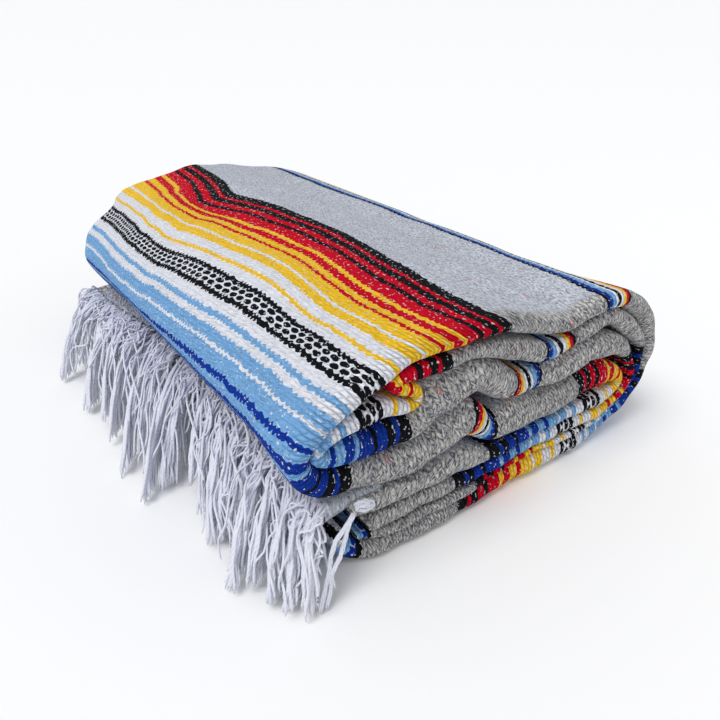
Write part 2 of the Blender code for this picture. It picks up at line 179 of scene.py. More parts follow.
def patternAlong(columns, run, marks):
    # the pattern place at each column, straight between the marks, which come in order
    places, values, start = [], [], 0
    for x, z, value in marks:
        gap = np.hypot(columns[start:, 0] - x, columns[start:, 1] - z)
        near = start + int(np.argmin(gap[:160]))
        places.append(run[near])
        values.append(value)
        start = near + 1
    return np.interp(run, places, values)


def inwardOf(columns):
    along = np.gradient(columns[:, :2], axis=0)
    along /= np.hypot(along[:, 0], along[:, 1])[:, None]
    return np.column_stack([-along[:, 1], along[:, 0]])


# How the pack sits. The near end's valley and shoulder ease out behind it:
# x, z, reach in x, reach in z, shift in x, shift in z.
easing = (
    (137, 113, 26, 30, 0, 7.0),
    (219, 104, 26, 26, -2.5, -5.0),
    (243, 70, 16, 26, -2.0, -1.0),
    (-43, 77, 20, 17, 5.0, 1.0),
)
# The top has a few soft troughs, and ridges where the depth is minus: start x, y, end x, y, reach, depth.
creases = (
    (-40, 95, 60, 40, 15, 1.6),
    (20, 190, 120, 130, 20, 1.8),
    (-10, 260, 80, 330, 22, 2.0),
    (110, 250, 230, 190, 18, 1.3),
    (60, 60, 110, 100, 13, -1.2),
    (-30, 150, 20, 240, 14, -1.4),
    (150, 60, 235, 120, 16, 1.2),
)
# How much of its length the pack loses at the far end, across it.
cutPlaces = (-60, -46, -36, -26, -14, -4, 4, 14, 40, 60, 90, 110, 150, 205, 246)
cutShares = (0.215, 0.205, 0.165, 0.142, 0.132, 0.112, 0.078, 0.057, 0.058, 0.053, 0.020, 0, 0,
             0.090, 0.110)
# The far end's top sinks on the left, and swells a little past the middle: y in metres, the rest shares.
farEnd = {"start": 0.290, "cutStart": 0.10, "sink": 0.072, "swell": 0.012}


def inFrame(x, y, z):
    return x - pack["middle"] * unit, y - (packLength - pack["nearReach"]) / 2, z


def settle(x, y, z):
    # a point of the straight pack, in metres, to its place in the frame
    u = np.array(x, dtype=float) / unit
    v = np.array(y, dtype=float) / unit
    h = np.array(z, dtype=float) / unit
    behind = smoothstep(4, 62, v)
    moveU = np.zeros_like(u)
    moveH = np.zeros_like(u)
    for cu, ch, ru, rh, du, dh in easing:
        pull = np.exp(-((u - cu) / ru) ** 2 - ((h - ch) / rh) ** 2) * behind
        moveU += du * pull
        moveH += dh * pull
    lift = smoothstep(70, 128, h)
    for u0, v0, u1, v1, reach, depth in creases:
        du, dv = u1 - u0, v1 - v0
        t = np.clip(((u - u0) * du + (v - v0) * dv) / (du * du + dv * dv), 0, 1)
        away = np.hypot(u - u0 - t * du, v - v0 - t * dv)
        fade = 0.35 + 0.65 * np.sin(math.pi * np.clip(t, 0.08, 0.92))
        moveH -= depth * fade * np.exp(-(away / reach) ** 2) * lift * smoothstep(8, 40, v)
    x = (u + moveU) * unit
    z = (h + moveH) * unit
    sink = farEnd["sink"] * smoothstep(105, 0, u)
    sink -= farEnd["swell"] * smoothstep(90, 130, u) * smoothstep(200, 150, u)
    z = z * (1 - smoothstep(farEnd["start"], packLength, y) * sink)
    y = y * (1 - np.interp(u, cutPlaces, cutShares) * smoothstep(farEnd["cutStart"], packLength, y))
    z = np.where(z < 0.0001, 0.0, z)
    return inFrame(x, y, z)


# the doubled cloth's section along Y: how far it turns back at each end, metres, its rows, and how
# far the end edges wander
section = {
    "nearDepth": 0.044, "farDepth": 0.030, "farStretch": 1.2, "wobble": 0.0007, "wobbleReach": 0.060,
    "backRows": 5, "noseRows": 13, "topRows": 96, "farNoseRows": 11,
}


def crossSection(half, kind, wobble):
    # rows round the doubled cloth at one column: y and distance out of the line, and distance round
    depth = section["nearDepth"]
    farStart = packLength - section["farDepth"]
    farHalf = half * section["farStretch"]
    farTurn = packLength - farHalf
    rows = []
    if kind in ("full", "near"):
        rows += [(y, half) for y in np.linspace(depth, half, section["backRows"] + 1)[:-1]]
        turns = np.radians(np.linspace(90, -90, section["noseRows"]))
        rows += [(half * (1 - math.cos(a)), half * math.sin(a)) for a in turns]
    if kind == "near":
        rows += [(y, -half) for y in np.linspace(half, depth, 9)[1:]]
    if kind == "full":
        rows += [(y, -half) for y in np.linspace(half, farTurn, section["topRows"])[1:-1]]
    if kind == "far":
        rows += [(y, -half) for y in np.linspace(farStart, farTurn, 5)[:-1]]
    if kind in ("full", "far"):
        turns = np.radians(np.linspace(-90, 90, section["farNoseRows"]))
        rows += [(packLength - farHalf * (1 - math.cos(a)), half * math.sin(a)) for a in turns]
        rows += [(y, half) for y in np.linspace(farTurn, farStart, 5)[1:]]
    rows = np.array(rows)
    reach = section["wobbleReach"]
    ease = smoothstep(reach, 0.0, rows[:, 0]) - smoothstep(packLength - reach, packLength, rows[:, 0])
    rows[:, 0] += wobble * ease
    girth = np.concatenate([[0], np.cumsum(np.hypot(*np.diff(rows, axis=0).T))])
    if kind == "far":
        return rows, girth + farStart
    return rows, girth - girth[int(np.argmin(rows[:, 0]))]


def gridPiece(name, along, across, x, y, z):
    # a grid of so many points along and across, each at its place
    bpy.ops.object.select_all(action="DESELECT")
    bpy.ops.mesh.primitive_grid_add(x_subdivisions=along - 1, y_subdivisions=across - 1, size=1)
    piece = bpy.context.object
    piece.name = name
    piece.data.name = name
    piece.data.vertices.foreach_set("co", np.column_stack([x, y, z]).ravel())
    piece.data.uv_layers[0].name = "cloth"
    return piece


def giveMap(piece, uv):
    # the cloth's own map: place along the blanket, and across it
    corner = np.empty(len(piece.data.loops), dtype=np.int32)
    piece.data.loops.foreach_get("vertex_index", corner)
    piece.data.uv_layers[0].data.foreach_set("uv", uv[corner].ravel())


def cutAway(mesh, cut):
    # the points that are marked go, with their faces
    bpy.ops.object.mode_set(mode="EDIT")
    bpy.ops.mesh.select_mode(type="VERT")
    bpy.ops.object.mode_set(mode="OBJECT")
    mesh.polygons.foreach_set("select", [False] * len(mesh.polygons))
    mesh.edges.foreach_set("select", [False] * len(mesh.edges))
    mesh.vertices.foreach_set("select", cut)
    bpy.ops.object.mode_set(mode="EDIT")
    bpy.ops.mesh.delete(type="VERT")
    bpy.ops.object.mode_set(mode="OBJECT")


def smoothOut(piece):
    bpy.ops.object.select_all(action="DESELECT")
    piece.select_set(True)
    bpy.context.view_layer.objects.active = piece
    bpy.ops.object.mode_set(mode="EDIT")
    bpy.ops.mesh.select_all(action="SELECT")
    bpy.ops.mesh.normals_make_consistent(inside=False)
    bpy.ops.object.mode_set(mode="OBJECT")
    bpy.ops.object.shade_smooth()
    return piece


def laySheet(name, rows, marks, settings):
    # a grid laid on one strip
    columns, run = smoothLine(rows, settings["step"])
    pattern = patternAlong(columns, run, marks)
    inward = inwardOf(columns)
    wave = 0.9 * np.sin(run / 17.0) + 0.7 * np.sin(run / 7.3 + 1.0) + 0.5 * np.sin(run / 3.9 + 2.0)
    setBack, setBackRun = settings["setBack"]
    places, uv = [], []
    for k, (x, z, half) in enumerate(columns):
        turned, way = crossSection(half * unit, settings["kind"], section["wobble"] * wave[k])
        px = x * unit + inward[k, 0] * turned[:, 1]
        pz = z * unit + inward[k, 1] * turned[:, 1]
        back = setBack * float(smoothstep(setBackRun, 0, run[k])) * smoothstep(0.120, 0.010, turned[:, 0])
        places.append(np.column_stack([px, turned[:, 0] + back * unit, pz]))
        outside = np.clip(-turned[:, 1] / (half * unit), 0, 1)
        slide = leanOf(pattern[k], turned[:, 0]) * outside if settings["kind"] == "full" else 0.0
        uv.append(np.column_stack([np.full(len(turned), pattern[k] * unit) + slide * unit, way]))
    places = np.array(places)
    across, along = places.shape[:2]
    x, y, z = settle(places[..., 0].ravel(), places[..., 1].ravel(), places[..., 2].ravel())
    piece = gridPiece(name, along, across, x, y, z)
    giveMap(piece, np.array(uv).reshape(-1, 2))
    if settings["fullUntil"] < 1:
        cut = np.zeros((across, along), dtype=bool)
        cut[int(settings["fullUntil"] * across):, settings["edgeRows"]:] = True
        cutAway(piece.data, cut.ravel())
    return smoothOut(piece)


# step is in units; past its share fullUntil the outer strip is only its near edge, edgeRows wide;
# setBack is how far the strip's first end stands back, and over what run, in units
outerSettings = {"kind": "full", "step": 2.6, "fullUntil": 0.596, "edgeRows": 25, "setBack": (10, 42)}
innerSettings = {"kind": "near", "step": 2.6, "fullUntil": 1, "setBack": (5, 20)}
outerCloth = laySheet("outerCloth", outerRows, outerMarks, outerSettings)
innerCloth = laySheet("innerCloth", innerRows, innerMarks, innerSettings)
print("near cloth laid:", len(outerCloth.data.polygons), len(innerCloth.data.polygons))

# the far end shows the same strips turned the same way, from the row and the mark past the left fold
farSettings = {
    "kind": "far", "step": 4.0, "fullUntil": 1, "setBack": (0, 1), "firstRow": 48, "firstMark": 9,
}
farRows = outerRows[farSettings["firstRow"]:-2]
farOuter = laySheet("farCloth", farRows, outerMarks[farSettings["firstMark"]:], farSettings)
farInner = laySheet("farInner", innerRows[2:-1], innerMarks, farSettings)
bpy.ops.object.select_all(action="DESELECT")
farInner.select_set(True)
farOuter.select_set(True)
bpy.context.view_layer.objects.active = farOuter
bpy.ops.object.join()
farCloth = bpy.context.object
print("far cloth laid:", len(farCloth.data.polygons))

# the hidden layers between the near and far edges: one rounded solid, its left side in layers,
# given a darker grey as painted shade in the gaps between the layers
coreSettings = {"nearGap": 0.0445, "farGap": 0.0305, "shrink": 0.0018, "rows": 46}    # metres
coreOutline = (
    (-6, 18), (8, 15), (60, 15), (88, 19), (150, 19), (190, 18.5), (210, 23), (226, 33), (233, 46),
    (235.5, 60), (234, 72), (222, 86), (204, 98), (188, 102.5), (165, 101.5), (147, 101), (130, 103.5),
    (112, 109.5), (92, 117), (65, 119.5), (40, 119.5), (20, 118), (0, 111), (-18, 101.5), (-28, 93),
    (-26, 85), (-12, 79), (-8, 76), (-2, 74), (8, 72), (8, 50), (0, 47), (-9, 45), (-12, 41), (-9, 37),
    (-4, 35.5), (-9, 33), (-11, 29), (-8, 25), (-3, 23), (-7, 21),
)


def closeSeams(piece, fill):
    # the grid's first and last rows meet, and its open ends are filled where asked
    bpy.ops.object.mode_set(mode="EDIT")
    bpy.ops.mesh.select_all(action="SELECT")
    bpy.ops.mesh.remove_doubles(threshold=0.00002)
    if fill:
        bpy.ops.mesh.fill_holes(sides=0)
    bpy.ops.object.mode_set(mode="OBJECT")


def layCore(name, outline, settings):
    loop = np.array(outline, dtype=float) * unit
    middle = loop.mean(axis=0)
    away = loop - middle
    loop = middle + away * (1 - settings["shrink"] / np.hypot(away[:, 0], away[:, 1]))[:, None]
    loop = np.vstack([loop, loop[:1]])
    depths = np.linspace(settings["nearGap"], packLength - settings["farGap"], settings["rows"])
    x = np.repeat(loop[:, 0], len(depths))
    z = np.repeat(loop[:, 1], len(depths))
    y = np.tile(depths, len(loop))
    piece = gridPiece(name, len(depths), len(loop), *settle(x, y, z))
    closeSeams(piece, True)
    return smoothOut(piece)


innerLayers = layCore("innerLayers", coreOutline, coreSettings)

# the fringed end, out from under the left fold, further out at the far end: start and end in metres,
# the rest in units
endSettings = {
    "start": 0.005, "end": 0.352, "half": 2.4, "root": 8, "edge": -17, "farOut": 27, "nearOut": 12,
    "height": 49.0, "droop": 3.5, "fatCorner": 1.1, "patternPlace": -50, "patternRun": 30,
}


def endReach(v):
    # how far out its edge stands, at a place along the pack
    farOut = endSettings["farOut"] * smoothstep(165, 350, v)
    nearOut = endSettings["nearOut"] * smoothstep(62, 12, v)
    return endSettings["edge"] - farOut - nearOut


def layFringedEnd(name, settings):
    start, end = settings["start"], settings["end"]
    half = settings["half"] * unit
    turns = np.radians(np.linspace(-90, 90, 7))
    along = [(y, -half) for y in np.linspace(end - half, start + half, 70)]
    along += [(start + half * (1 - math.cos(a)), half * math.sin(a)) for a in turns[1:-1]]
    along += [(y, half) for y in np.linspace(start + half, end - half, 70)]
    along += [(end - half * (1 - math.cos(a)), half * math.sin(a)) for a in turns[::-1][1:-1]]
    along = np.array(along + along[:1])
    share = np.linspace(0, 1, 15)
    y = np.tile(along[:, 0], len(share))
    out = np.tile(along[:, 1], len(share))
    t = np.repeat(share, len(along))
    v = y / unit
    x = (settings["root"] + (endReach(v) - settings["root"]) * t) * unit
    lumps = 1.6 * np.sin(v / 17.0) + 1.1 * np.sin(v / 7.7 + 1.0) + 0.6 * np.sin(v / 3.4 + t * 3)
    fat = 1 + settings["fatCorner"] * smoothstep(55, 12, v) * t
    z = (settings["height"] - settings["droop"] * t ** 2 + lumps * t) * unit - out * fat
    girth = np.concatenate([[0], np.cumsum(np.hypot(*np.diff(along, axis=0).T))])
    place = (settings["patternPlace"] - settings["patternRun"] * t) * unit
    piece = gridPiece(name, len(along), len(share), *inFrame(x, y, z))
    giveMap(piece, np.column_stack([place, np.tile(girth, len(share))]))
    closeSeams(piece, False)
    return smoothOut(piece)


fringedEnd = layFringedEnd("fringedEnd", endSettings)
print("hidden layers and fringed end laid")

# The fringe is loose warp yarns in clumps. Each clump: y where it leaves the cloth, its tip's x, y and
# z, and how many yarns it has; units.
clumps = (
    (17, -51, -9, 2, 16), (28, -57, -1, 2, 17), (42, -63, 7, 2, 19), (57, -67, 21, 4, 14),
    (74, -75, 28, 2, 19), (92, -59, 60, 11, 14), (110, -66, 63, 3, 15), (128, -71, 66, 2, 18),
    (149, -66, 90, 5, 14), (167, -61, 113, 10, 13), (185, -75, 128, 3, 16), (202, -89, 125, 2, 19),
    (221, -78, 166, 6, 14), (240, -92, 161, 2, 20), (262, -86, 201, 4, 17), (283, -84, 226, 6, 16),
    (303, -91, 251, 2, 18), (323, -77, 270, 7, 15), (343, -95, 311, 3, 19), (359, -79, 338, 8, 15),
)
fringe = {
    "sides": 5, "height": 49.0, "fullness": 1.9, "loose": 13, "short": 5, "spread": 19,
    "points": 22, "loosePoints": 28, "shortPoints": 15,
    "radius": (0.82, 1.05), "looseRadius": (0.60, 0.80), "shortRadius": (0.9, 1.1),
}


def yarnPath(root, tip, bulge, sway, count, spread=(0, 0), coil=0.0, slow=1.0, flare=0.0):
    # root, tip: x, y, z in units; a soft curve out, over and down: the yarn starts beside it by its
    # spread, winds round it, and parts from it a little at the tip
    root, tip = Vector(root), Vector(tip)
    reach = root.x - tip.x
    over = root + Vector((-0.42 * reach, 0.20 * (tip.y - root.y), bulge))
    down = tip + Vector((0.14 * reach, 0.22 * (root.y - tip.y), 0.60 * (root.z - tip.z) + bulge))
    phase, beat, turnStart = rng.uniform(0, 6.28), rng.uniform(1.3, 2.2) * slow, rng.uniform(0, 6.28)
    parting = Vector((rng.uniform(-1, 1), rng.uniform(-1, 1), rng.uniform(-0.2, 0.5))) * flare
    path = []
    for k in range(count):
        t = k / (count - 1)
        s = 1 - t
        point = root * s ** 3 + over * (3 * s * s * t) + down * (3 * s * t * t) + tip * t ** 3
        gather = 1 - float(smoothstep(0.05, 0.55, t))
        turn = turnStart + 8.0 * t
        wide = coil * (1 - gather) * (1.30 - 0.70 * t)
        wave = sway * min(1.0, 3 * t)
        apart = float(smoothstep(0.82, 1.0, t))
        point.x += wide * math.sin(turn) * 0.4 + 0.6 * wave * math.sin(phase * 3 + beat * k * 0.6)
        point.y += spread[0] * gather + wide * math.cos(turn) + wave * math.sin(phase + beat * k)
        point.z += spread[1] * gather + wide * math.sin(turn) * 0.8 + 0.6 * wave * math.cos(beat * k * 0.8)
        path.append(point + parting * apart)
    return path


def yarnTube(path, radius, verts, faces, uvs):
    # a tube round the path, closed at both ends
    yarnSides = fringe["sides"]
    first = len(verts)
    way = 0.0
    lengths = []
    up = Vector((0, 0, 1))
    for k, point in enumerate(path):
        ahead = path[min(k + 1, len(path) - 1)] - path[max(k - 1, 0)]
        side = ahead.cross(up)
        side = side.normalized() if side.length > 1e-6 else Vector((0, 1, 0))
        rise = side.cross(ahead).normalized()
        if k:
            way += (point - path[k - 1]).length
        lengths.append(way * unit)
        thick = radius * (0.35 if k == len(path) - 1 else 1.0)
        for j in range(yarnSides):
            turn = 2 * math.pi * j / yarnSides
            verts.append(point + (side * math.cos(turn) + rise * math.sin(turn)) * thick)
    for k in range(len(path) - 1):
        for j in range(yarnSides):
            a = first + k * yarnSides + j
            b = first + k * yarnSides + (j + 1) % yarnSides
            faces.append((a, b, b + yarnSides, a + yarnSides))
            v0, v1 = lengths[k], lengths[k + 1]
            u0, u1 = j / yarnSides, (j + 1) / yarnSides
            uvs.extend(((u0, v0), (u1, v0), (u1, v1), (u0, v1)))
    last = first + (len(path) - 1) * yarnSides
    faces.append(tuple(range(first + yarnSides - 1, first - 1, -1)))
    uvs.extend([(0.5, 0.0)] * yarnSides)
    faces.append(tuple(range(last, last + yarnSides)))
    uvs.extend([(0.5, lengths[-1])] * yarnSides)


def yarnPiece(name, yarns):
    verts, faces, uvs = [], [], []
    for path, radius in yarns:
        yarnTube(path, radius, verts, faces, uvs)
    points = np.array(verts) * unit
    x, y, z = inFrame(points[:, 0], points[:, 1], points[:, 2])
    z = np.maximum(z, 0.0)
    mesh = bpy.data.meshes.new(name)
    mesh.from_pydata(np.column_stack([x, y, z]).tolist(), [], faces)
    layer = mesh.uv_layers.new(name="yarn")
    layer.data.foreach_set("uv", np.array(uvs, dtype=float).ravel())
    piece = bpy.data.objects.new(name, mesh)
    bpy.context.scene.collection.objects.link(piece)
    return smoothOut(piece)


fringeYarns = []
for number, (place, tx, ty, tz, count) in enumerate(clumps):
    start = (float(endReach(place)) + 3.0, place, fringe["height"])
    rise = rng.uniform(1, 8)
    lots = int(count * fringe["fullness"])
    for k in range(lots):
        spread = ((k + 0.5) / lots - 0.5) * fringe["spread"] + rng.uniform(-2, 2)
        pull = rng.uniform(-0.03, 0.22)
        tip = (tx + (start[0] - tx) * pull + rng.uniform(-1.2, 1.2),
               ty + (place - ty) * pull + rng.uniform(-1.2, 1.2), max(1.2, tz + rng.uniform(-0.5, 3)))
        path = yarnPath(start, tip, rise + rng.uniform(-2.5, 3.5), 0.5, fringe["points"],
                        (spread, rng.uniform(-4, 3)), rng.uniform(0.6, 3.8), 1.0, 2.2)
        fringeYarns.append((path, rng.uniform(*fringe["radius"])))
    # loose ones that curl away, across to the neighbours
    for k in range(fringe["loose"]):
        other = clumps[min(len(clumps) - 1, max(0, number + rng.choice((-1, -1, 0, 1, 1))))]
        v = place + rng.uniform(-11, 11)
        pull = rng.uniform(0.08, 0.60)
        begin = (float(endReach(v)) + 3.0, v, fringe["height"] + 0.5)
        tip = (other[1] + (begin[0] - other[1]) * pull + rng.uniform(-6, 6),
               other[2] + (v - other[2]) * pull + rng.uniform(-14, 14),
               max(1.2, other[3] + 30 * pull + rng.uniform(-2, 3)))
        path = yarnPath(begin, tip, rise + rng.uniform(1.0, 7.0), rng.uniform(2.0, 5.5),
                        fringe["loosePoints"], (0, 1.5), 0.0, rng.uniform(0.26, 0.42))
        fringeYarns.append((path, rng.uniform(*fringe["looseRadius"])))
    # and a few short ones under them
    for k in range(fringe["short"]):
        v = place + rng.uniform(-9, 9)
        back = rng.uniform(0.25, 0.55)
        low = (float(endReach(v)) + 2.0, v, fringe["height"] - 5.0 + rng.uniform(-1.5, 1))
        tip = (tx + (low[0] - tx) * back, ty + (v - ty) * back + rng.uniform(-6, 6), max(1.6, tz * 0.5))
        path = yarnPath(low, tip, rise - 5, 0.8, fringe["shortPoints"])
        fringeYarns.append((path, rng.uniform(*fringe["shortRadius"])))
half = len(fringeYarns) // 2
fringeNear = yarnPiece("fringeNear", fringeYarns[:half])
fringeFar = yarnPiece("fringeFar", fringeYarns[half:])
print("fringe laid:", len(fringeYarns), "yarns")

# the knotted strands at the near corner: the knot's place and sizes in units
tassel = {
    "knot": (-11.5, -2.6, 51.5), "loops": 15, "loopPoints": 22, "loopRadius": 0.6,
    "wide": (2.6, 5.5), "high": (0.9, 2.5), "strandYarns": 4, "strandPoints": 25, "strandRadius": 0.68,
}
tasselYarns = []
for k in range(tassel["loops"]):
    wide = rng.uniform(*tassel["wide"])
    high = rng.uniform(*tassel["high"])
    spot = Vector((tassel["knot"][0] + rng.uniform(-1, 1), tassel["knot"][1] + rng.uniform(-0.9, 0.6),
                   tassel["knot"][2] + rng.uniform(-0.8, 0.8)))
    loop = []
    for j in range(tassel["loopPoints"]):
        a = k * 0.3 + j * 0.3
        loop.append(spot + Vector((wide * math.cos(a) + 1.2, 1.3 * math.sin(a * 1.4 + k),
                                   high * math.sin(a) - 0.25 * wide * math.cos(a))))
    tasselYarns.append((loop, tassel["loopRadius"]))
# two strands that part, cross and hang to the ground: x, y, z
strands = (
    ((-17, -3, 49), (-22, -3.5, 44), (-29, -4, 38), (-33, -5, 29), (-34.5, -6, 21), (-37.5, -7, 14),
     (-44, -11, 1.8)),
    ((-17, -3, 49), (-21, -4, 44), (-24, -5, 36), (-27.5, -6, 28), (-33.5, -7, 20.5), (-35, -8, 12),
     (-40, -11, 1.8)),
)
for strand in strands:
    for k in range(tassel["strandYarns"]):
        turn = k * 2 * math.pi / tassel["strandYarns"]
        path = []
        for j in range(tassel["strandPoints"]):
            t = j / (tassel["strandPoints"] - 1) * (len(strand) - 1)
            at = min(int(t), len(strand) - 2)
            spot = Vector(strand[at]).lerp(Vector(strand[at + 1]), t - at)
            turns = turn + j * 0.55
            wind = Vector((0.75 * math.cos(turns), 0.6 * math.sin(turns), 0.4 * math.sin(turns)))
            path.append(spot + wind)
        tasselYarns.append((path, tassel["strandRadius"]))
cornerTassel = yarnPiece("cornerTassel", tasselYarns)
print("corner tassel laid:", len(tasselYarns), "yarns")


class Wire:
    # a number in a material, with arithmetic
    def __init__(self, board, socket):
        self.board = board
        self.socket = socket

    def math(self, operation, *others):
        node = self.board.tree.nodes.new("ShaderNodeMath")
        node.operation = operation
        for slot, value in zip(node.inputs, (self, *others)):
            self.board.feed(slot, value)
        return Wire(self.board, node.outputs[0])

    def __add__(self, other):
        return self.math("ADD", other)

    __radd__ = __add__

    def __mul__(self, other):
        return self.math("MULTIPLY", other)

    __rmul__ = __mul__

    def __sub__(self, other):
        return self.math("SUBTRACT", other)

    def __rsub__(self, other):
        return self.math("MULTIPLY", -1.0) + other

    def __truediv__(self, other):
        return self.math("DIVIDE", other)

    def __lt__(self, other):
        return self.math("LESS_THAN", other)

    def __gt__(self, other):
        return self.math("GREATER_THAN", other)

    def __abs__(self):
        return self.math("ABSOLUTE")


class Board:
    # one material and its nodes
    def __init__(self, name):
        self.material = bpy.data.materials.new(name)
        self.material.use_nodes = True
        self.tree = self.material.node_tree
        self.shader = self.tree.nodes["Principled BSDF"]

    def feed(self, slot, value):
        if isinstance(value, Wire):
            self.tree.links.new(value.socket, slot)
        else:
            slot.default_value = value

    def node(self, kind, settings, values, output=0):
        node = self.tree.nodes.new(kind)
        for key, value in settings.items():
            setattr(node, key, value)
        for key, value in values.items():
            self.feed(node.inputs[key], value)
        return Wire(self, node.outputs[output])

    def mix(self, share, first, second):
        return self.node("ShaderNodeMix", {"data_type": "RGBA"}, {0: share, 6: first, 7: second}, 2)

    def held(self, value):
        return value.math("MINIMUM", 1.0).math("MAXIMUM", 0.0)

    # darkens a colour by an amount: it paints shade
    def paintShade(self, colour, amount):
        grey = self.node("ShaderNodeCombineColor", {}, {0: amount, 1: amount, 2: amount})
        return self.node("ShaderNodeMix", {"data_type": "RGBA", "blend_type": "MULTIPLY"},
                         {0: 1.0, 6: colour, 7: grey}, 2)

    def parts(self, spot):
        node = self.tree.nodes.new("ShaderNodeSeparateXYZ")
        self.feed(node.inputs[0], spot)
        return [Wire(self, socket) for socket in node.outputs]

    def mapped(self, layerName):
        return self.parts(self.node("ShaderNodeUVMap", {"uv_map": layerName}, {}))[:2]

    def noise(self, x, y, detail=2.0, rough=0.5):
        spot = self.node("ShaderNodeCombineXYZ", {}, {0: x, 1: y})
        return self.node("ShaderNodeTexNoise", {"noise_dimensions": "2D"},
                         {"Vector": spot, "Scale": 1.0, "Detail": detail, "Roughness": rough})

    def chance(self, x, y):
        spot = self.node("ShaderNodeCombineXYZ", {}, {0: x, 1: y})
        return self.node("ShaderNodeTexWhiteNoise", {"noise_dimensions": "2D"}, {"Vector": spot})

    def bands(self, share, stripes):
        # hard stripes, each a width and a dye in order, over a share from 0 to 1
        node = self.tree.nodes.new("ShaderNodeValToRGB")
        ramp = node.color_ramp
        ramp.interpolation = "CONSTANT"
        total = sum(width for width, dye in stripes)
        way = 0.0
        for k, (width, dye) in enumerate(stripes):
            element = ramp.elements[k] if k < 2 else ramp.elements.new(1.0)
            element.position = way / total
            element.color = dyes[dye]
            way += width
        self.feed(node.inputs[0], share)
        return Wire(self, node.outputs[0])

    def finish(self, colour, relief, look):
        bump = self.node("ShaderNodeBump", {},
                         {"Strength": look["bump"], "Distance": look["relief"], "Height": relief})
        self.feed(self.shader.inputs["Base Color"], colour)
        self.feed(self.shader.inputs["Normal"], bump)
        self.feed(self.shader.inputs["Roughness"], look["roughness"])


dyes = {
    "red": (0.660, 0.001, 0.020, 1), "yellow": (0.990, 0.610, 0.032, 1), "white": (0.830, 0.850, 0.920, 1),
    "sky": (0.200, 0.430, 0.760, 1), "navy": (0.006, 0.040, 0.340, 1), "black": (0.007, 0.008, 0.011, 1),
}
warmStripes = (
    (15.1, "white"), (3.4, "yellow"), (8.0, "white"), (7.4, "yellow"), (2.6, "white"), (9.8, "yellow"),
    (3.3, "red"), (5.8, "yellow"), (6.2, "red"), (3.4, "yellow"), (10.2, "red"), (3.6, "black"),
    (5.2, "red"), (6.0, "black"), (2.6, "red"), (8.2, "black"),
)
coolStripes = (
    (8.0, "black"), (3.0, "navy"), (5.2, "black"), (6.5, "navy"), (2.8, "black"), (10.4, "navy"),
    (3.4, "sky"), (6.2, "navy"), (5.8, "sky"), (3.4, "navy"), (9.0, "sky"), (2.0, "white"),
    (7.4, "sky"), (5.4, "white"), (3.8, "sky"), (16.1, "white"),
)
thinStripes = (
    (2.7, "black"), (3.2, "navy"), (4.0, "sky"), (2.4, "white"), (3.0, "black"), (3.2, "white"),
    (3.0, "yellow"), (3.0, "red"), (2.5, "black"),
)


# the weave: picks and posts in metres, and the heather's dark and light fibres, flat and on the
# turned edges, where the cloth looks coarser and its darker dark also paints shade between the stitches
weave = {
    "pick": 0.0027, "post": 0.0050, "bump": 0.9, "relief": 0.0017, "roughness": 0.9,
    "flatDark": (0.235, 0.255, 0.310, 1), "flatLight": (0.725, 0.765, 0.855, 1),
    "noseDarkAndShade": (0.105, 0.112, 0.145, 1), "noseLight": (0.690, 0.675, 0.650, 1),
    "paleFibre": (0.740, 0.715, 0.640, 1), "fleck": (0.76, 0.76, 0.80, 1),
    "noseReach": 0.010, "noseFade": 0.008,
}
# the check: two black edges, and two rows of black dashes on white; units
check = {
    "edgeFrom": 4.5, "edgeTo": 8.2, "dashRow": 2.0, "dashHigh": 1.80, "dashBeat": 8.8,
    "dashLong": 0.42, "dashShift": 0.45,
}


